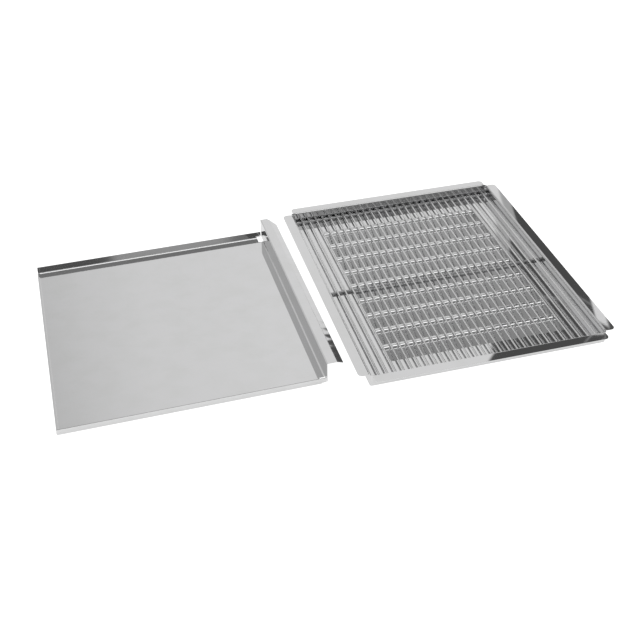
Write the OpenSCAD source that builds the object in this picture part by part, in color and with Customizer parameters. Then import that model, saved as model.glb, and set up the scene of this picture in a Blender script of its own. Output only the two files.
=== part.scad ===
// Wire queen excluder: a flanged pan with a louvred floor, a lift-out wire grid and a pull-out tray.
// Everything is polished stainless sheet and round wire. Millimetres, +Z up, the front towards -Y.
// The origin is the middle of the whole set on the surface that it lies on.

/* [Excluder frame] */
// Inside width between the side walls
opening_w = 375; // [300:5:460]
// Inside length between the front and rear walls
opening_d = 477; // [380:1:580]
// Width of the flange round the top, from the inside of the wall
flange_w = 17; // [11:0.5:30]
// Depth of the pan, from the top of the flange to the floor
pan_depth = 19.5; // [14:0.5:40]
// Thickness of the frame sheet
frame_t = 1; // [0.6:0.1:2]
// Rounding of the flanges' outer corners
flange_corner_r = 7; // [1:0.5:10]
// Rounding of the flanges' corners beside the walls
flange_root_r = 5; // [1:0.5:8]
// Width of the plain floor border in front of and behind the louvres
border_d = 46; // [32:0.5:80]
// Width of the plain floor border at each side of the louvres
border_w = 45; // [32:0.5:80]

/* [Louvres] */
// Number of louvre slats
slat_count = 9; // [5:2:11]
// Thickness of a slat
slat_t = 0.8; // [0.5:0.1:1.5]
// Height of a slat's crest above the floor
slat_rise = 3.4; // [0:0.2:3.4]
// Depth of a slat's front edge below the floor
slat_drop = 5; // [2:0.5:12]
// Depth below the floor at which a slat's blade ends and its step begins
step_drop = 1; // [0:0.2:2]
// Length along the floor of the step up to the crest
step_run = 3; // [2:0.5:8]
// Width of the flat crest of a slat
crest_w = 6; // [2:0.5:10]
// Length along the floor of a slat's rear leg
rear_leg_run = 4; // [2:0.5:10]
// How far a slat's rear leg comes down from the crest
rear_leg_drop = 4; // [2:0.2:8]
// Slot between one slat and the next
slat_gap = 1.6; // [0.8:0.2:5]
// Thickness of the two rails that carry the slats
rail_t = 1.5; // [1:0.1:3]

/* [Wire grid] */
// Number of wires
wire_count = 29; // [15:1:35]
// Diameter of a wire
wire_d = 3; // [1.5:0.1:4]
// From a side wall to the middle of the first wire, when the wires are centred
wire_margin = 6.4; // [5:0.2:20]
// How far the row of wires is set off towards the tray's side
wire_offset = 1.8; // [0:0.2:2.4]
// Diameter of a cross rod
rod_d = 4; // [3:0.1:6]
// From the front or rear wall to the middle of the end rods
rod_margin = 7.5; // [5:0.5:40]
// Clearance between the grid and the pan all round
grid_clearance = 1.2; // [0.6:0.1:3]
// Clearance under the cross rods
seat_clearance = 0.3; // [0.2:0.1:1]

/* [Tray] */
// Width of the tray, from its open edge to the outside of its front plate
tray_w = 394; // [320:2:480]
// Length of the tray over the feet of its two lips
tray_d = 425; // [340:1:520]
// Thickness of the tray sheet
tray_t = 1; // [0.6:0.1:2]
// Height of the two low lips
lip_h = 12; // [6:0.5:30]
// How far a lip's top leans outwards past its foot
lip_lean = 1.8; // [0:0.2:5]
// Height of the front plate
plate_h = 37; // [20:0.5:60]
// Width of the flat part of the handle
handle_flat_w = 14; // [8:0.5:30]
// Width of the turned-down part of the handle
handle_edge_w = 10; // [4:0.5:20]
// How far the handle's outer edge is turned down
handle_edge_drop = 3.2; // [1:0.2:8]
// Length of the slanted cut at the rear end of the handle
handle_cut = 20; // [5:1:60]
// Width of the slanted cut, from the handle's outer edge
handle_cut_w = 13; // [5:0.5:20]
// Width of the hem that is folded over the open edge
hem_w = 4; // [2:0.5:20]
// Width of the relief notches in the floor's corners, out from the front plate
relief_w = 8; // [2:0.5:20]
// Length of the relief notches along the front plate
relief_len = 14; // [2:0.5:30]
// Height of the relief notches above the tray's floor
relief_h = 1; // [0.5:0.5:5]

/* [Place of the tray] */
// Least space between the handle and the frame's flange
tray_gap = 15; // [5:1:200]
// From the inside of the frame's front wall back to the tray's front left corner
tray_setback = 25; // [0:1:60]
// How far the tray is turned from the frame's line, in degrees
tray_turn = 0.7; // [0:0.1:3]

/* [Hidden] */
$fn = 48;
cut_over = 1;
// Heights
slat_foot = 0.3;
floor_top = slat_foot + slat_t + slat_drop;
flange_top = floor_top + pan_depth;
rod_z = floor_top + seat_clearance + rod_d / 2;
wire_z = rod_z + rod_d / 2 + wire_d / 2;
// Places across the set
frame_w = opening_w + 2 * flange_w;
handle_w = handle_flat_w + handle_edge_w;
tray_swing = (tray_d + lip_lean) * sin(tray_turn);
tray_span = (tray_w + handle_w) * cos(tray_turn) + tray_swing;
total_w = tray_span + tray_gap + frame_w;
tray_x = -total_w / 2 + tray_swing;
frame_x = total_w / 2 - frame_w + flange_w;
frame_y = -opening_d / 2;
tray_y = frame_y + tray_setback;
// Louvre field
field_w = opening_w - 2 * border_w;
field_d = opening_d - 2 * border_d;
slat_pitch = field_d / slat_count;
slat_w = slat_pitch - slat_gap;
blade_run = slat_w - step_run - crest_w - rear_leg_run;
crest_start = blade_run + step_run;
// Wire grid
wire_x = frame_x + wire_margin - wire_offset;
wire_pitch = (opening_w - 2 * wire_margin) / (wire_count - 1);
wire_len = opening_d - 2 * grid_clearance;
rod_len = opening_w - 2 * grid_clearance;

function numbered(name, i) = str(name, i < 10 ? "0" : "", i);

// A flange seen from above: its straight root lies on y = 0 and it reaches towards -y
module flange_outline(length) {
    r = flange_corner_r;
    q = min(flange_root_r, flange_w - r - 0.5);
    translate([0, -flange_w + r]) square([length, flange_w - r - q]);
    translate([r, -flange_w]) square([length - 2 * r, r]);
    translate([q, -q]) square([length - 2 * q, q]);
    for (x = [r, length - r]) translate([x, -flange_w + r]) circle(r);
    for (x = [q, length - q]) translate([x, -q]) circle(q);
}

module flange_plate(length) {
    translate([0, 0, flange_top - frame_t]) linear_extrude(frame_t) flange_outline(length);
}

// One blank folded up: floor, four walls and four flanges, with the corner squares cut away
module frame_pan() {
    wall_h = flange_top - floor_top + frame_t;
    wall_z = floor_top - frame_t;
    color("gainsboro") translate([frame_x, frame_y, 0]) {
        difference() {
            translate([0, 0, wall_z]) cube([opening_w, opening_d, frame_t]);
            translate([border_w, border_d, wall_z - cut_over])
                cube([field_w, field_d, frame_t + 2 * cut_over]);
        }
        translate([-frame_t, -frame_t, wall_z]) cube([opening_w + 2 * frame_t, frame_t, wall_h]);
        translate([-frame_t, opening_d, wall_z]) cube([opening_w + 2 * frame_t, frame_t, wall_h]);
        translate([-frame_t, 0, wall_z]) cube([frame_t, opening_d, wall_h]);
        translate([opening_w, 0, wall_z]) cube([frame_t, opening_d, wall_h]);
        flange_plate(opening_w);
        translate([opening_w, opening_d, 0]) rotate(180) flange_plate(opening_w);
        translate([0, opening_d, 0]) rotate(-90) flange_plate(opening_d);
        translate([opening_w, 0, 0]) rotate(90) flange_plate(opening_d);
    }
}

// A strip on edge under the floor, beside the louvre opening
module slat_rail(side) {
    x = side < 0 ? border_w - rail_t : opening_w - border_w;
    color("darkgray") translate([frame_x + x, frame_y + border_d, 0])
        cube([rail_t, field_d, floor_top - frame_t]);
}

// Slats are numbered from the front. The blade rises to the rear, then steps up to the crest.
module louvre_slat(i) {
    low = floor_top - slat_drop;
    crest = floor_top + slat_rise;
    tail = crest - rear_leg_drop;
    top = [[0, low], [blade_run, floor_top - step_drop], [crest_start, crest],
           [crest_start + crest_w, crest], [slat_w, tail]];
    under = [for (k = [len(top) - 1 : -1 : 0]) top[k] - [0, slat_t]];
    color("silver")
        translate([frame_x + border_w, frame_y + border_d + (i - 1) * slat_pitch + slat_gap / 2, 0])
            rotate([90, 0, 90]) linear_extrude(field_w) polygon(concat(top, under));
}

// The rods lie across the pan, and the wires lie on top of them
module cross_rod(y) {
    color("gray") translate([frame_x + grid_clearance, frame_y + y, rod_z])
        rotate([0, 90, 0]) cylinder(h = rod_len, d = rod_d);
}

module wire(i) {
    color("whitesmoke")
        translate([wire_x + (i - 1) * wire_pitch, frame_y + grid_clearance, wire_z])
            rotate([-90, 0, 0]) cylinder(h = wire_len, d = wire_d);
}

// A flat strip and a turned-down edge, with the rear end cut on a slant
module handle() {
    flat_end = tray_t + handle_flat_w;
    outer = tray_t + handle_w;
    low = plate_h - handle_edge_drop;
    difference() {
        translate([0, tray_d, 0]) rotate([90, 0, 0]) linear_extrude(tray_d)
            polygon([[0, plate_h], [flat_end, plate_h], [outer, low], [outer, low - tray_t],
                     [flat_end, plate_h - tray_t], [0, plate_h - tray_t]]);
        translate([outer, tray_d, 0]) linear_extrude(plate_h + cut_over)
            polygon([[-handle_cut_w, 0], [-handle_cut_w, cut_over], [cut_over, cut_over],
                     [cut_over, -handle_cut], [0, -handle_cut]]);
    }
}

// A low lip seen from the side: it leans towards -y
module lip() {
    rotate([90, 0, 90]) linear_extrude(tray_w)
        polygon([[0, 0], [tray_t, 0], [tray_t - lip_lean, lip_h], [-lip_lean, lip_h]]);
}

// One blank: floor, front and rear lips, hemmed open edge, front plate and handle
module tray_pan() {
    notch = [relief_w + tray_t, relief_len + tray_t + lip_lean, relief_h + tray_t]
        + [cut_over, cut_over, cut_over];
    plate_x = tray_w - tray_t;
    color("lightgray") translate([tray_x, tray_y, 0]) rotate(tray_turn) {
        difference() {
            union() {
                cube([tray_w, tray_d, tray_t]);
                cube([hem_w, tray_d, 2 * tray_t]);
                lip();
                translate([0, tray_d, 0]) mirror([0, 1, 0]) lip();
                translate([plate_x, 0, 0]) cube([tray_t, tray_d, plate_h]);
            }
            translate([plate_x - relief_w, -lip_lean - cut_over, -cut_over]) cube(notch);
            translate([plate_x - relief_w, tray_d - relief_len - tray_t, -cut_over]) cube(notch);
        }
        translate([plate_x, 0, 0]) handle();
    }
}

frame_pan();
slat_rail(-1);  // slat_rail_left
slat_rail(1);  // slat_rail_right
for (i = [1 : slat_count]) louvre_slat(i);
cross_rod(rod_margin);  // cross_rod_front
cross_rod(opening_d / 2);  // cross_rod_middle
cross_rod(opening_d - rod_margin);  // cross_rod_rear
for (i = [1 : wire_count]) wire(i);
tray_pan();
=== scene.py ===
import math
import random

import bmesh
import bpy
from mathutils import Matrix, Vector


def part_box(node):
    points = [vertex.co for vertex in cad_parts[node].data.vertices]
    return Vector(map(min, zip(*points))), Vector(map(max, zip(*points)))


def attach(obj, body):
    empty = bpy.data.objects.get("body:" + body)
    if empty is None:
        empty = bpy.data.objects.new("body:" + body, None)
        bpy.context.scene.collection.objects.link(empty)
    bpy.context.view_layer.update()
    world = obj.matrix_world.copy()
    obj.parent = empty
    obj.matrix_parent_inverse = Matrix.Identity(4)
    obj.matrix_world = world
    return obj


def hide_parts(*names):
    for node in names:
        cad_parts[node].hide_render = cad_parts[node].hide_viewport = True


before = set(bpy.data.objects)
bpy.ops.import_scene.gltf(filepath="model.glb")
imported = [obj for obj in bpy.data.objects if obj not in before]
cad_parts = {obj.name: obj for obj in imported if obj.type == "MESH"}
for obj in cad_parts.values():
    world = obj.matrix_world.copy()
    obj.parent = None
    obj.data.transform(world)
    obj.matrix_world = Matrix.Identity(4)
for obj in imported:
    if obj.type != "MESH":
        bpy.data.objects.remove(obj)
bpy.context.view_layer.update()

up = Vector((0, 0, 1))
right = Vector((1, 0, 0))
rear = Vector((0, 1, 0))
tiny = 0.00002
sharpFold = 1.0
print("frame loaded:", len(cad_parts), "nodes")


# Helpers for working on one object at a time

def pickOnly(obj):
    bpy.ops.object.select_all(action="DESELECT")
    obj.select_set(True)
    bpy.context.view_layer.objects.active = obj


def settleIn(obj, name):
    obj.name = name
    obj.data.name = name
    pickOnly(obj)
    bpy.ops.object.transform_apply(location=True, rotation=True, scale=True)


def addRectangle(name, x0, x1, y0, y1, z):
    bpy.ops.object.select_all(action="DESELECT")
    bpy.ops.mesh.primitive_plane_add(size=1, location=((x0 + x1) / 2, (y0 + y1) / 2, z))
    obj = bpy.context.object
    obj.scale = (x1 - x0, y1 - y0, 1)
    settleIn(obj, name)
    return obj


def startEditing(obj):
    pickOnly(obj)
    bpy.ops.object.mode_set(mode="EDIT")
    bpy.ops.mesh.select_all(action="DESELECT")


def stopEditing():
    bpy.ops.object.mode_set(mode="OBJECT")


def choose(kind, test):
    # selects the vertices, edges or faces of the object in edit mode that pass the test
    bpy.ops.mesh.select_mode(type=kind)
    bpy.ops.mesh.select_all(action="DESELECT")
    mesh = bpy.context.object.data
    shape = bmesh.from_edit_mesh(mesh)
    parts = {"VERT": shape.verts, "EDGE": shape.edges, "FACE": shape.faces}[kind]
    for part in parts:
        if test(part):
            part.select_set(True)
    bmesh.update_edit_mesh(mesh)


def firstChosenPoint():
    shape = bmesh.from_edit_mesh(bpy.context.object.data)
    return next(vert.co.copy() for vert in shape.verts if vert.select)


def cutThrough(point, normal):
    bpy.ops.mesh.select_all(action="SELECT")
    bpy.ops.mesh.bisect(plane_co=point, plane_no=normal)


def pullEdges(move):
    bpy.ops.mesh.extrude_edges_move(TRANSFORM_OT_translate={"value": tuple(move)})


def foldEdges(startSide, endSide, radius, degrees=90.0, steps=6):
    # sweeps the chosen edges round a bend; startSide points from the bend's centre to the edges
    centre = firstChosenPoint() - startSide * radius
    bpy.ops.mesh.spin(steps=steps, angle=math.radians(degrees), center=centre,
                      axis=endSide.cross(startSide))


def onLine(edge, side, place):
    # true for an edge that lies along a wall, whose distance along side is place
    return all(abs(vert.co.dot(side) - place) < tiny for vert in edge.verts)


def applyModifier(obj, kind, **values):
    modifier = obj.modifiers.new(kind.title(), kind)
    for name, value in values.items():
        setattr(modifier, name, value)
    pickOnly(obj)
    bpy.ops.object.modifier_apply(modifier=modifier.name)


def smoothAll(obj, degrees=35.0):
    pickOnly(obj)
    bpy.ops.object.shade_smooth_by_angle(angle=math.radians(degrees))


def finishSheet(obj, thickness, softness):
    # gives a folded surface its thickness, on its underside, and softens the cut edges
    spec = {"softSteps": 2, "cutAngle": 60, "normalWeight": 100}
    startEditing(obj)
    bpy.ops.mesh.select_all(action="SELECT")
    bpy.ops.mesh.remove_doubles(threshold=tiny)
    bpy.ops.mesh.normals_make_consistent(inside=False)
    shape = bmesh.from_edit_mesh(obj.data)
    widest = max(shape.faces, key=lambda face: face.calc_area())
    if widest.normal.z < 0:
        bpy.ops.mesh.flip_normals()
    stopEditing()
    applyModifier(obj, "SOLIDIFY", thickness=thickness, offset=-1, use_even_offset=True)
    applyModifier(obj, "BEVEL", width=softness, segments=spec["softSteps"], limit_method="ANGLE",
                  angle_limit=math.radians(spec["cutAngle"]), miter_outer="MITER_ARC")
    smoothAll(obj)
    applyModifier(obj, "WEIGHTED_NORMAL", keep_sharp=True, weight=spec["normalWeight"])


def copyPiece(source, name, shift):
    obj = source.copy()
    obj.data = source.data.copy()
    bpy.context.collection.objects.link(obj)
    obj.data.transform(Matrix.Translation(shift))
    obj.name = name
    obj.data.name = name
    return obj


def handOver(obj, body, slotName, material, *nodes):
    # the piece rides on its body, takes a finish, and stands for its CAD nodes
    obj.data.materials.clear()
    obj.data.materials.append(material)
    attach(obj, body)
    if nodes:
        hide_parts(*nodes)


# Node groups for effects that several finishes share

def newGroup(name, inputs, outputs):
    group = bpy.data.node_groups.new(name, "ShaderNodeTree")
    for label, value in inputs.items():
        kind = "NodeSocketVector" if isinstance(value, tuple) else "NodeSocketFloat"
        socket = group.interface.new_socket(name=label, in_out="INPUT", socket_type=kind)
        socket.default_value = value
    for label in outputs:
        group.interface.new_socket(name=label, in_out="OUTPUT", socket_type="NodeSocketFloat")
    return group, group.nodes.new("NodeGroupInput"), group.nodes.new("NodeGroupOutput")


def addNode(tree, kind, **values):
    node = tree.nodes.new(kind)
    for name, value in values.items():
        setattr(node, name, value)
    return node


def stretchedNoise(tree, stretch, scale, detail, turn=0.0):
    # noise in the piece's own space; stretch is a socket or three numbers
    place = addNode(tree, "ShaderNodeTexCoord")
    mapping = addNode(tree, "ShaderNodeMapping")
    mapping.inputs["Rotation"].default_value = (0, 0, math.radians(turn))
    noise = addNode(tree, "ShaderNodeTexNoise")
    noise.inputs["Detail"].default_value = detail
    tree.links.new(place.outputs["Object"], mapping.inputs["Vector"])
    tree.links.new(mapping.outputs["Vector"], noise.inputs["Vector"])
    for value, socket in ((stretch, mapping.inputs["Scale"]), (scale, noise.inputs["Scale"])):
        if isinstance(value, (int, float, tuple)):
            socket.default_value = value
        else:
            tree.links.new(value, socket)
    return noise.outputs["Fac"]


def spread(tree, value, low, high, newLow=0.0, newHigh=1.0):
    node = addNode(tree, "ShaderNodeMapRange")
    tree.links.new(value, node.inputs["Value"])
    for label, number in (("From Min", low), ("From Max", high),
                          ("To Min", newLow), ("To Max", newHigh)):
        node.inputs[label].default_value = number
    return node.outputs["Result"]


def combine(tree, operation, first, second=None):
    node = addNode(tree, "ShaderNodeMath", operation=operation)
    for value, socket in zip((first, second), node.inputs):
        if value is None:
            continue
        if isinstance(value, (int, float)):
            socket.default_value = value
        else:
            tree.links.new(value, socket)
    return node.outputs[0]


def makeSurfaceGroup():
    # rolled grain, slow waves of the sheet, wiping marks, hairline scratches and rubbed edges
    spec = {"grainScale": 1.0, "grainDetail": 2.0,
            "waveStretch": (1.0, 1.0, 1.0), "waveScale": 7.0, "waveDetail": 1.0,
            "smudgeStretch": (1.0, 1.3, 1.0), "smudgeScale": 22.0, "smudgeDetail": 4.0,
            "smudgeLow": 0.42, "smudgeHigh": 0.68,
            "scratchStretch": (14.0, 900.0, 14.0), "scratchScale": 1.0, "scratchDetail": 1.0,
            "scratchTurns": (17.0, -38.0, 71.0), "scratchLow": 0.70, "scratchHigh": 0.76,
            "edgeLow": 0.53, "edgeHigh": 0.6}
    group, given, result = newGroup(
        "sheetSurface", {"Grain Stretch": (40.0, 2600.0, 40.0), "Scratch Reach": 1.0},
        ("Grain", "Waves", "Smudges", "Scratches", "Rubbed Edges"))
    link = group.links.new
    grain = stretchedNoise(group, given.outputs["Grain Stretch"], spec["grainScale"],
                           spec["grainDetail"])
    link(grain, result.inputs["Grain"])
    waves = stretchedNoise(group, spec["waveStretch"], spec["waveScale"], spec["waveDetail"])
    link(waves, result.inputs["Waves"])
    smudges = stretchedNoise(group, spec["smudgeStretch"], spec["smudgeScale"], spec["smudgeDetail"])
    link(spread(group, smudges, spec["smudgeLow"], spec["smudgeHigh"]), result.inputs["Smudges"])
    lines = None
    for turn in spec["scratchTurns"]:
        strands = stretchedNoise(group, spec["scratchStretch"], spec["scratchScale"],
                                 spec["scratchDetail"], turn)
        thin = spread(group, strands, spec["scratchLow"], spec["scratchHigh"])
        lines = thin if lines is None else combine(group, "MAXIMUM", lines, thin)
    reached = combine(group, "MULTIPLY", lines, given.outputs["Scratch Reach"])
    link(reached, result.inputs["Scratches"])
    bend = addNode(group, "ShaderNodeNewGeometry")
    link(spread(group, bend.outputs["Pointiness"], spec["edgeLow"], spec["edgeHigh"]),
         result.inputs["Rubbed Edges"])
    return group


sheetSurface = makeSurfaceGroup()


def makeSteel(name, spec):
    material = bpy.data.materials.new(name)
    material.use_nodes = True
    tree = material.node_tree
    link = tree.links.new
    shader = tree.nodes["Principled BSDF"]
    shader.inputs["Metallic"].default_value = 1.0
    surface = addNode(tree, "ShaderNodeGroup", node_tree=sheetSurface)
    surface.inputs["Grain Stretch"].default_value = spec["grainStretch"]
    surface.inputs["Scratch Reach"].default_value = spec["scratches"]

    tint = addNode(tree, "ShaderNodeMix", data_type="RGBA")
    tint.inputs["A"].default_value = (*spec["clean"], 1)
    tint.inputs["B"].default_value = (*spec["handled"], 1)
    link(surface.outputs["Smudges"], tint.inputs["Factor"])
    worn = addNode(tree, "ShaderNodeMix", data_type="RGBA")
    worn.inputs["B"].default_value = (*spec["rubbed"], 1)
    link(tint.outputs["Result"], worn.inputs["A"])
    link(surface.outputs["Rubbed Edges"], worn.inputs["Factor"])
    link(worn.outputs["Result"], shader.inputs["Base Color"])

    dull = spread(tree, surface.outputs["Smudges"], 0, 1, spec["roughness"],
                  spec["roughness"] + spec["smudgeRoughness"])
    scored = combine(tree, "MULTIPLY", surface.outputs["Scratches"], spec["scratchRoughness"])
    link(combine(tree, "ADD", dull, scored), shader.inputs["Roughness"])

    waves = addNode(tree, "ShaderNodeBump")
    waves.inputs["Distance"].default_value = spec["waveHeight"]
    link(surface.outputs["Waves"], waves.inputs["Height"])
    grain = addNode(tree, "ShaderNodeBump")
    grain.inputs["Distance"].default_value = spec["grainHeight"]
    link(combine(tree, "SUBTRACT", surface.outputs["Grain"], surface.outputs["Scratches"]),
         grain.inputs["Height"])
    link(waves.outputs["Normal"], grain.inputs["Normal"])
    link(grain.outputs["Normal"], shader.inputs["Normal"])
    return material


panSteel = makeSteel("panSteel", {
    "clean": (0.80, 0.80, 0.805), "handled": (0.775, 0.777, 0.775), "rubbed": (0.86, 0.86, 0.86),
    "roughness": 0.022, "smudgeRoughness": 0.008, "scratchRoughness": 0.12,
    "grainStretch": (30.0, 1800.0, 30.0),
    "grainHeight": 0.0000005, "waveHeight": 0.00008, "scratches": 0.3})
slatSteel = makeSteel("slatSteel", {
    "clean": (0.78, 0.782, 0.785), "handled": (0.75, 0.755, 0.755), "rubbed": (0.86, 0.86, 0.86),
    "roughness": 0.06, "smudgeRoughness": 0.02, "scratchRoughness": 0.1,
    "grainStretch": (30.0, 1800.0, 30.0),
    "grainHeight": 0.0000008, "waveHeight": 0.0003, "scratches": 0.4})
traySteel = makeSteel("traySteel", {
    "clean": (0.79, 0.79, 0.795), "handled": (0.765, 0.767, 0.765), "rubbed": (0.86, 0.86, 0.86),
    "roughness": 0.05, "smudgeRoughness": 0.01, "scratchRoughness": 0.1,
    "grainStretch": (1800.0, 30.0, 30.0),
    "grainHeight": 0.0000005, "waveHeight": 0.00012, "scratches": 0.3})
wireSteel = makeSteel("wireSteel", {
    "clean": (0.86, 0.86, 0.862), "handled": (0.83, 0.832, 0.83), "rubbed": (0.9, 0.9, 0.9),
    "roughness": 0.13, "smudgeRoughness": 0.05, "scratchRoughness": 0.1,
    "grainStretch": (1500.0, 20.0, 1500.0),
    "grainHeight": 0.000003, "waveHeight": 0.0001, "scratches": 0.4})
# the rods' steel gets a dark base colour (0.34 against the wires' 0.86) as painted shade, standing in
# for the shade and dark reflections under the wires
rodSteelPaintedShade = makeSteel("rodSteelPaintedShade", {
    "clean": (0.34, 0.34, 0.345), "handled": (0.30, 0.305, 0.305), "rubbed": (0.5, 0.5, 0.5),
    "roughness": 0.16, "smudgeRoughness": 0.05, "scratchRoughness": 0.1,
    "grainStretch": (20.0, 1500.0, 1500.0),
    "grainHeight": 0.000003, "waveHeight": 0.0001, "scratches": 0.4})
print("finishes made")


# Frame pan: one blank with a louvre opening, four walls and four flanges

def makeFramePan():
    spec = {"thickness": 0.001, "flangeWidth": 0.017, "floorBend": 0.0015, "rimBend": 0.002,
            "wallCorner": 0.0025, "flangeCorner": 0.007, "flangeRoot": 0.005, "borderDepth": 0.046,
            "borderWidth": 0.045, "softness": 0.00018, "bendSteps": 6, "firstTilt": 3,
            "cornerTilts": (6, 18, 30, 42, 54, 66, 78)}
    low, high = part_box("frame_pan")
    x0, x1 = low.x + spec["flangeWidth"], high.x - spec["flangeWidth"]
    y0, y1 = low.y + spec["flangeWidth"], high.y - spec["flangeWidth"]
    floorTop, rim = low.z + spec["thickness"], high.z
    wallTop = rim - spec["rimBend"]
    fieldX = (x0 + spec["borderWidth"], x1 - spec["borderWidth"])
    fieldY = (y0 + spec["borderDepth"], y1 - spec["borderDepth"])

    pan = addRectangle("framePan", x0, x1, y0, y1, floorTop)
    startEditing(pan)
    for x in fieldX:
        cutThrough((x, 0, 0), right)
    for y in fieldY:
        cutThrough((0, y, 0), rear)
    choose("FACE", lambda face: fieldX[0] < face.calc_center_median().x < fieldX[1]
           and fieldY[0] < face.calc_center_median().y < fieldY[1])
    bpy.ops.mesh.delete(type="FACE")
    choose("VERT", lambda vert: abs(vert.co.x - (x0 + x1) / 2) > (x1 - x0) / 2 - tiny
           and abs(vert.co.y - (y0 + y1) / 2) > (y1 - y0) / 2 - tiny)
    bpy.ops.mesh.bevel(offset=spec["wallCorner"], segments=spec["bendSteps"], affect="VERTICES")

    def onOutline(edge):
        middle = (edge.verts[0].co + edge.verts[1].co) / 2
        return edge.is_boundary and not (fieldX[0] - tiny < middle.x < fieldX[1] + tiny
                                         and fieldY[0] - tiny < middle.y < fieldY[1] + tiny)

    def flangeEnd(side, place, along):
        shape = bmesh.from_edit_mesh(pan.data)
        return max(vert.co.dot(along) for vert in shape.verts
                   if vert.co.dot(side) > place + spec["rimBend"] - tiny)

    choose("EDGE", onOutline)
    pullEdges(up * (wallTop - floorTop))
    choose("EDGE", lambda edge: len(edge.link_faces) == 2 and edge.calc_face_angle() > sharpFold
           and all(abs(vert.co.z - floorTop) < tiny for vert in edge.verts))
    bpy.ops.mesh.bevel(offset=spec["floorBend"], segments=spec["bendSteps"], affect="EDGES")

    for side, place in ((right, x1), (-right, -x0), (rear, y1), (-rear, -y0)):
        choose("EDGE", lambda edge: onLine(edge, side, place) and onLine(edge, up, wallTop)
               and edge.is_boundary)
        foldEdges(-side, up, spec["rimBend"])
        pullEdges(side * (spec["flangeWidth"] - spec["rimBend"]))
        # both ends of the flange are rounded off, beside the wall and at the outer corner
        ends = [(along, flangeEnd(side, place, along)) for along in (up.cross(side), side.cross(up))]
        root = spec["flangeRoot"]
        firstCut = root * math.tan(math.radians(spec["firstTilt"]))
        for along, end in ends:
            choose("FACE", lambda face: face.calc_center_median().dot(side) > place - tiny)
            bpy.ops.mesh.bisect(plane_co=along * (end - root + firstCut), plane_no=along)
        choose("FACE", lambda face: face.calc_center_median().dot(side) > place + tiny)
        bpy.ops.mesh.split()
        for along, end in ends:
            for outward, line, radius in ((side, place + spec["flangeWidth"] - spec["flangeCorner"],
                                           spec["flangeCorner"]), (-side, place + root, root)):
                centre = side * line + along * (end - radius)
                for degrees in spec["cornerTilts"]:
                    tilt = math.radians(degrees)
                    normal = outward * math.cos(tilt) + along * math.sin(tilt)
                    choose("FACE", lambda face: face.calc_center_median().dot(side) > place + tiny)
                    bpy.ops.mesh.bisect(plane_co=centre + normal * radius, plane_no=normal,
                                        clear_outer=True)
    bpy.ops.mesh.select_all(action="SELECT")
    bpy.ops.mesh.remove_doubles(threshold=tiny)
    choose("EDGE", lambda edge: edge.is_boundary and onLine(edge, up, wallTop))
    pullEdges(up * (rim - wallTop))
    stopEditing()
    finishSheet(pan, spec["thickness"], spec["softness"])
    handOver(pan, "excluder_frame", "frame_sheet", panSteel, "frame_pan")


makeFramePan()
print("frame pan made")


# Louvre slats: a rising blade, a step, a flat crest and a rear leg, bent from one strip

def makeSlats():
    spec = {"thickness": 0.0008, "rise": 0.0034, "drop": 0.005, "stepDrop": 0.001, "stepRun": 0.003,
            "crestWidth": 0.006, "legRun": 0.004, "legDrop": 0.004, "bend": 0.0019,
            "footBend": 0.0007, "bendSteps": 7, "softness": 0.00012}
    low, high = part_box("louvre_slat_01")
    crest = high.z
    floorTop = crest - spec["rise"]
    blade = high.y - low.y - spec["stepRun"] - spec["crestWidth"] - spec["legRun"]

    slat = addRectangle("slat01", low.x, high.x, low.y, low.y + blade, floorTop - spec["stepDrop"])
    startEditing(slat)
    choose("EDGE", lambda edge: onLine(edge, rear, low.y))
    bpy.ops.transform.translate(value=(0, 0, spec["stepDrop"] - spec["drop"]))
    choose("EDGE", lambda edge: onLine(edge, rear, low.y + blade))
    pullEdges((0, spec["stepRun"], spec["stepDrop"] + spec["rise"]))
    pullEdges((0, spec["crestWidth"], 0))
    pullEdges((0, spec["legRun"], -spec["legDrop"]))
    foot = low.y + blade
    for offset, test in ((spec["footBend"], lambda edge: onLine(edge, rear, foot)),
                         (spec["bend"], lambda edge: len(edge.link_faces) == 2
                          and min(vert.co.z for vert in edge.verts) > crest - tiny)):
        choose("EDGE", test)
        bpy.ops.mesh.bevel(offset=offset, segments=spec["bendSteps"], affect="EDGES")
    stopEditing()
    finishSheet(slat, spec["thickness"], spec["softness"])

    names = sorted(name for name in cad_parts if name.startswith("louvre_slat_"))
    for index, name in enumerate(names):
        piece = slat
        if index:
            piece = copyPiece(slat, f"slat{index + 1:02d}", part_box(name)[0] - low)
        handOver(piece, "excluder_frame", "louvre_sheet", slatSteel, name)
    for name in ("slat_rail_left", "slat_rail_right"):
        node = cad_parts[name]
        node.data.materials.clear()
        node.data.materials.append(slatSteel)


makeSlats()
print("slats made")


# Wire grid: straight drawn wires on three cross rods, welded where they cross

def makeRound(name, node, sides, chamfer, steps):
    low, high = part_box(node)
    size = high - low
    along = 0 if size.x > size.y else 1
    turn = (0, math.pi / 2, 0) if along == 0 else (math.pi / 2, 0, 0)
    bpy.ops.object.select_all(action="DESELECT")
    bpy.ops.mesh.primitive_cylinder_add(vertices=sides, radius=size.z / 2, depth=size[along],
                                        location=(low + high) / 2, rotation=turn)
    obj = bpy.context.object
    settleIn(obj, name)
    startEditing(obj)
    choose("EDGE", lambda edge: len(edge.link_faces) == 2 and edge.calc_face_angle() > sharpFold)
    bpy.ops.mesh.bevel(offset=chamfer, segments=steps, affect="EDGES")
    stopEditing()
    smoothAll(obj)
    applyModifier(obj, "WEIGHTED_NORMAL", keep_sharp=True)
    return obj


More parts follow.
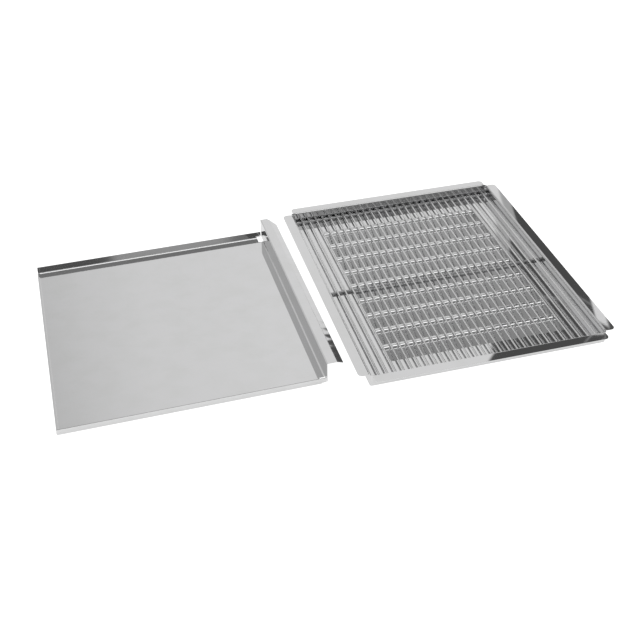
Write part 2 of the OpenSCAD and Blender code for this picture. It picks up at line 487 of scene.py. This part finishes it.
def makeGrid():
    spec = {"wireSides": 24, "rodSides": 32, "wireChamfer": 0.0005, "rodChamfer": 0.0006,
            "chamferSteps": 3, "sidewaysPlay": 0.00012, "beadLength": 0.0021, "beadWidth": 0.0025,
            "beadHeight": 0.0011, "beadSpread": 0.15, "beadSides": 12, "beadRings": 6, "seed": 5}
    chance = random.Random(spec["seed"])
    wires = sorted(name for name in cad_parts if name.startswith("wire_"))
    firstWire = makeRound("wire01", wires[0], spec["wireSides"], spec["wireChamfer"],
                          spec["chamferSteps"])
    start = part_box(wires[0])[0]
    for index, name in enumerate(wires):
        play = right * chance.uniform(-1, 1) * spec["sidewaysPlay"]
        piece = firstWire
        if index:
            piece = copyPiece(firstWire, f"wire{index + 1:02d}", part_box(name)[0] - start + play)
        handOver(piece, "wire_grid", "wire", wireSteel, name)

    for name in ("front", "middle", "rear"):
        node = "cross_rod_" + name
        rod = makeRound("rod" + name.title(), node, spec["rodSides"], spec["rodChamfer"],
                        spec["chamferSteps"])
        # each rod takes the steel darkened as painted shade
        handOver(rod, "wire_grid", "cross_rod", rodSteelPaintedShade, node)
        low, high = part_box(node)
        beads = []
        for wire in wires:
            wireLow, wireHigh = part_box(wire)
            bpy.ops.object.select_all(action="DESELECT")
            bpy.ops.mesh.primitive_uv_sphere_add(segments=spec["beadSides"],
                                                 ring_count=spec["beadRings"], radius=1)
            bead = bpy.context.object
            size = 1 + chance.uniform(-1, 1) * spec["beadSpread"]
            bead.scale = (spec["beadWidth"] * size, spec["beadLength"] * size,
                          spec["beadHeight"] * size)
            bead.location = ((wireLow.x + wireHigh.x) / 2, (low.y + high.y) / 2, high.z)
            beads.append(bead)
        bpy.ops.object.select_all(action="DESELECT")
        for bead in beads:
            bead.select_set(True)
        bpy.context.view_layer.objects.active = beads[0]
        bpy.ops.object.join()
        settleIn(beads[0], "welds" + name.title())
        bpy.ops.object.shade_smooth()
        # the weld beads take the rods' dark base colour, painted shade as well
        handOver(beads[0], "wire_grid", "cross_rod", rodSteelPaintedShade)


makeGrid()
print("wire grid made")


# Tray: floor, two lips, a hemmed open edge, a tall plate and a handle

def makeTray():
    spec = {"thickness": 0.001, "floorWidth": 0.394, "floorLength": 0.425, "turn": 0.7,
            "lipLength": 0.012, "lipLean": 8.5, "handleFlat": 0.014, "handleEdge": 0.010,
            "edgeDrop": 0.0032, "edgeBend": 0.003, "edgeSteps": 4, "cutLength": 0.020,
            "cutWidth": 0.013, "floorBend": 0.0016, "topBend": 0.0016, "hemWidth": 0.004,
            "hemSteps": 10, "hemShare": 0.96, "reliefWidth": 0.008, "reliefLength": 0.014,
            "reliefHeight": 0.0018, "lipGap": 0.0008, "softness": 0.00018,
            "rippleStep": 0.018, "ripplePoints": 4, "rippleHeight": 0.00008}
    low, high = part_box("tray_pan")
    sheet, bend = spec["thickness"], spec["floorBend"]
    turn = Matrix.Rotation(math.radians(spec["turn"]), 4, "Z")
    # the tray is folded square on, with its front left corner at zero, and turned at the end
    outer = spec["floorWidth"] + spec["handleFlat"] + spec["handleEdge"]
    x0, x1 = sheet, spec["floorWidth"] - sheet
    y0, y1 = sheet, spec["floorLength"] - sheet
    floorTop = sheet
    plateHeight = high.z - low.z
    notchX = x1 - spec["reliefWidth"]
    notchY = (y0 + spec["reliefLength"], y1 - spec["reliefLength"])

    tray = addRectangle("tray", x0, x1 - bend, y0 + bend, y1 - bend, floorTop)
    startEditing(tray)
    cutThrough((notchX, 0, 0), right)
    for y in notchY:
        cutThrough((0, y, 0), rear)
    choose("FACE", lambda face: face.calc_center_median().x > notchX
           and not notchY[0] < face.calc_center_median().y < notchY[1])
    bpy.ops.mesh.delete(type="FACE")

    # lips: bent up and leaning out, then the part above the relief reaches on towards the plate
    lean = math.radians(spec["lipLean"])
    for side, place in ((rear, y1), (-rear, -y0)):
        choose("EDGE", lambda edge: onLine(edge, side, place - bend) and edge.is_boundary)
        foldEdges(-up, side, bend, 90 - spec["lipLean"])
        out = side * math.sin(lean) + up * math.cos(lean)
        start = firstChosenPoint()
        foot = (floorTop + spec["reliefHeight"] - start.z) / out.z
        pullEdges(out * foot)
        footPlace = (start + out * foot).dot(side)
        pullEdges(out * ((spec["lipLength"] - start.z) / out.z - foot))
        choose("EDGE", lambda edge: onLine(edge, right, notchX)
               and min(vert.co.dot(side) for vert in edge.verts) > footPlace - tiny)
        pullEdges(right * (spec["reliefWidth"] - spec["lipGap"]))

    # plate: bent up between the reliefs, widened above them, then bent outwards into the handle
    choose("EDGE", lambda edge: onLine(edge, right, x1 - bend) and edge.is_boundary)
    foldEdges(-up, right, bend)
    pullEdges(up * (spec["reliefHeight"] - bend))
    plateTop = plateHeight - spec["topBend"]
    pullEdges(up * (plateTop - floorTop - spec["reliefHeight"]))
    for side, place, full in ((rear, notchY[1], spec["floorLength"]), (-rear, -notchY[0], 0)):
        choose("EDGE", lambda edge: onLine(edge, right, x1) and onLine(edge, side, place)
               and min(vert.co.z for vert in edge.verts) > floorTop + spec["reliefHeight"] - tiny)
        pullEdges(side * (full - place))
    choose("EDGE", lambda edge: onLine(edge, right, x1) and onLine(edge, up, plateTop)
           and edge.is_boundary)
    foldEdges(-right, up, spec["topBend"])
    pullEdges(right * (spec["handleFlat"] + sheet - spec["topBend"]))
    edgeTilt = math.degrees(math.atan2(spec["edgeDrop"], spec["handleEdge"]))
    foldEdges(up, right, spec["edgeBend"], edgeTilt, spec["edgeSteps"])
    tip = firstChosenPoint()
    pullEdges((outer - tip.x, 0, plateHeight - spec["edgeDrop"] - tip.z))

    # the rear end of the handle is cut on a slant
    choose("FACE", lambda face: face.calc_center_median().x > spec["floorWidth"])
    slant = Vector((spec["cutLength"], spec["cutWidth"], 0)).normalized()
    bpy.ops.mesh.bisect(plane_co=(outer, spec["floorLength"] - spec["cutLength"], plateHeight),
                        plane_no=slant, clear_outer=True)

    # the turned-down edge carries shallow ripples from the rolls
    steps = int(spec["floorLength"] / spec["rippleStep"] * spec["ripplePoints"])
    flatEnd = spec["floorWidth"] + spec["handleFlat"]
    for index in range(1, steps):
        choose("FACE", lambda face: face.calc_center_median().x > flatEnd)
        bpy.ops.mesh.bisect(plane_co=(0, spec["floorLength"] * index / steps, 0), plane_no=rear)
    choose("VERT", lambda vert: vert.co.x > outer - tiny)
    shape = bmesh.from_edit_mesh(tray.data)
    for vert in shape.verts:
        if vert.select:
            wave = 1 - math.cos(vert.co.y / spec["rippleStep"] * math.tau)
            vert.co.z -= spec["rippleHeight"] * wave
    bmesh.update_edit_mesh(tray.data)
    stopEditing()
    finishSheet(tray, sheet, spec["softness"])

    # hem: the open edge folded back on itself
    hem = addRectangle("trayHem", sheet, spec["hemWidth"], y0 + bend, y1 - bend, 2 * sheet)
    startEditing(hem)
    choose("EDGE", lambda edge: onLine(edge, right, sheet))
    foldEdges(up, -right, sheet, 180, spec["hemSteps"])
    stopEditing()
    finishSheet(hem, sheet * spec["hemShare"], spec["softness"])

    corner = Vector((high.x - outer * math.cos(math.radians(spec["turn"])), 0, low.z))
    corner.y = high.y - max((turn @ vert.co).y for vert in tray.data.vertices)
    for piece in (tray, hem):
        piece.data.transform(Matrix.Translation(corner) @ turn)
        handOver(piece, "tray", "tray_sheet", traySteel, *(["tray_pan"] if piece is tray else []))


makeTray()
print("tray made")


# Studio: a plain floor, and a soft surround with dark and bright boards that the steel reflects

def makeFloor():
    # the floor glows white towards the camera and less towards the steel
    spec = {"size": 12.0, "depth": -0.0002, "roughness": 0.8, "specular": 0.1,
            "paperStretch": (1.0, 1.0, 1.0), "paperScale": 30.0, "paperDetail": 3.0,
            "noiseLow": 0.3, "noiseHigh": 0.7, "paperLow": 0.30, "paperHigh": 0.34,
            "glow": 0.58, "whiteGlow": 1.0}
    bpy.ops.object.select_all(action="DESELECT")
    bpy.ops.mesh.primitive_plane_add(size=spec["size"], location=(0, 0, spec["depth"]))
    floor = bpy.context.object
    settleIn(floor, "studioFloor")
    material = bpy.data.materials.new("studioWhite")
    material.use_nodes = True
    tree = material.node_tree
    shader = tree.nodes["Principled BSDF"]
    shader.inputs["Roughness"].default_value = spec["roughness"]
    shader.inputs["Specular IOR Level"].default_value = spec["specular"]
    paper = stretchedNoise(tree, spec["paperStretch"], spec["paperScale"], spec["paperDetail"])
    shade = spread(tree, paper, spec["noiseLow"], spec["noiseHigh"],
                   spec["paperLow"], spec["paperHigh"])
    tree.links.new(shade, shader.inputs["Base Color"])
    shader.inputs["Emission Color"].default_value = (1, 1, 1, 1)
    path = addNode(tree, "ShaderNodeLightPath")
    glow = spread(tree, path.outputs["Is Camera Ray"], 0, 1, spec["glow"], spec["whiteGlow"])
    tree.links.new(glow, shader.inputs["Emission Strength"])
    floor.data.materials.append(material)


def fillRamp(tree, factor, stops, span):
    # stops are (degrees, brightness); span is the range of degrees that the ramp covers
    ramp = addNode(tree, "ShaderNodeValToRGB")
    elements = ramp.color_ramp.elements
    while len(elements) > 1:
        elements.remove(elements[-1])
    low, high = span
    for index, (degrees, brightness) in enumerate(stops):
        place = (degrees - low) / (high - low)
        element = elements[0] if index == 0 else elements.new(place)
        element.position = place
        element.color = (brightness, brightness, brightness, 1)
    tree.links.new(spread(tree, factor, math.radians(low), math.radians(high)), ramp.inputs["Fac"])
    return ramp.outputs["Color"]


def makeSurround():
    spec = {
        # over the top, from the rear horizon (0) past the zenith (90) to the front horizon (180)
        "over": ((0, 0.95), (12, 0.88), (22, 0.79), (42, 0.77), (47, 0.42), (56, 0.27), (66, 0.17),
                 (70, 0.3), (76, 0.5), (96, 0.55), (99, 1.8), (121, 1.8), (125, 0.25), (138, 0.22),
                 (151, 0.18), (156, 0.34), (165, 0.4), (180, 0.45)),
        # towards the left and right ends, from the horizon up to the zenith
        "ends": ((0, 0.95), (15, 0.78), (35, 0.55), (65, 0.4), (90, 0.5)),
        "endStart": 0.5, "endFull": 0.8,
        # round the horizon: 0 is the rear and 90 the right
        "round": ((-180, 1.0), (-50, 0.95), (-16, 0.62), (-9, 0.64), (-5, 0.73), (-1, 0.86), (3, 0.95),
                  (12, 1.0), (60, 1.0), (180, 1.0)),
        # boards: left, right, bottom and top edges in degrees, then what they multiply the light by
        "boards": ((25.7, 26.6, 24.5, 34.5, 0.55), (26.6, 32.3, 24.5, 34.5, 0.1),
                   (26.2, 32.3, 34.5, 45, 0.1), (32.3, 33.4, 35.6, 45, 0.1),
                   (33.4, 58, 24.5, 45, 0.1), (34.6, 58, 8, 24.5, 0.1),
                   (162.5, 166, 30, 45, 2.0), (166, 171, 30, 45, 3.0), (160, 171, 8, 24, 0.5),
                   (177.6, 181, 8, 24, 0.25), (-181, -165, 8, 24, 0.25)),
        "boardSoftness": 0.12, "plainLight": 1.0}
    world = bpy.data.worlds.new("studio")
    bpy.context.scene.world = world
    world.use_nodes = True
    tree = world.node_tree
    tree.nodes.clear()
    place = addNode(tree, "ShaderNodeTexCoord")
    split = addNode(tree, "ShaderNodeSeparateXYZ")
    tree.links.new(place.outputs["Generated"], split.inputs[0])
    x, y, z = (split.outputs[axis] for axis in "XYZ")
    bearing = combine(tree, "ARCTAN2", x, y)
    height = combine(tree, "ARCSINE", z)
    over = fillRamp(tree, combine(tree, "ARCTAN2", z, y), spec["over"], (0, 180))
    around = fillRamp(tree, bearing, spec["round"], (-180, 180))
    ends = fillRamp(tree, height, spec["ends"], (0, 90))
    facing = addNode(tree, "ShaderNodeMix", data_type="RGBA")
    tree.links.new(spread(tree, combine(tree, "ABSOLUTE", x), spec["endStart"], spec["endFull"]),
                   facing.inputs["Factor"])
    tree.links.new(over, facing.inputs["A"])
    tree.links.new(ends, facing.inputs["B"])

    def past(value, degrees):
        edge = math.radians(degrees)
        soft = math.radians(spec["boardSoftness"])
        return spread(tree, value, edge - soft, edge + soft)

    light = None
    for left, far, low, high, share in spec["boards"]:
        inside = combine(tree, "SUBTRACT", past(bearing, left), past(bearing, far))
        tall = combine(tree, "SUBTRACT", past(height, low), past(height, high))
        cover = combine(tree, "MULTIPLY", inside, tall)
        kept = spread(tree, cover, 0, 1, 1, share)
        light = kept if light is None else combine(tree, "MULTIPLY", light, kept)

    studio = addNode(tree, "ShaderNodeMix", data_type="RGBA", blend_type="MULTIPLY")
    studio.inputs["Factor"].default_value = 1.0
    tree.links.new(facing.outputs["Result"], studio.inputs["A"])
    tree.links.new(around, studio.inputs["B"])
    seen = addNode(tree, "ShaderNodeBackground")
    tree.links.new(studio.outputs["Result"], seen.inputs["Color"])
    tree.links.new(light, seen.inputs["Strength"])
    plain = addNode(tree, "ShaderNodeBackground")
    plain.inputs["Strength"].default_value = spec["plainLight"]
    plain.inputs["Color"].default_value = (1, 1, 1, 1)
    path = addNode(tree, "ShaderNodeLightPath")
    mixed = addNode(tree, "ShaderNodeMixShader")
    tree.links.new(path.outputs["Is Glossy Ray"], mixed.inputs["Fac"])
    tree.links.new(plain.outputs[0], mixed.inputs[1])
    tree.links.new(seen.outputs[0], mixed.inputs[2])
    output = addNode(tree, "ShaderNodeOutputWorld")
    tree.links.new(mixed.outputs[0], output.inputs["Surface"])


def makeCamera():
    # degrees: heading is to the right of straight back, pitch is down, roll is about the view
    spec = {"place": (-0.3297, -1.3538, 0.9888), "heading": 14.45, "pitch": 36.36, "roll": -1.18,
            "lens": 58.8, "sensor": 36, "farthest": 50}
    bpy.ops.object.select_all(action="DESELECT")
    bpy.ops.object.camera_add(location=spec["place"])
    camera = bpy.context.object
    turn = (Matrix.Rotation(math.radians(-spec["heading"]), 3, "Z")
            @ Matrix.Rotation(math.radians(90 - spec["pitch"]), 3, "X")
            @ Matrix.Rotation(math.radians(spec["roll"]), 3, "Z"))
    camera.rotation_euler = turn.to_euler()
    camera.data.lens = spec["lens"]
    camera.data.sensor_width = spec["sensor"]
    camera.data.clip_end = spec["farthest"]
    bpy.context.scene.camera = camera


makeFloor()
makeSurround()
makeCamera()
bpy.context.scene.view_settings.view_transform = "Standard"
print("studio made")
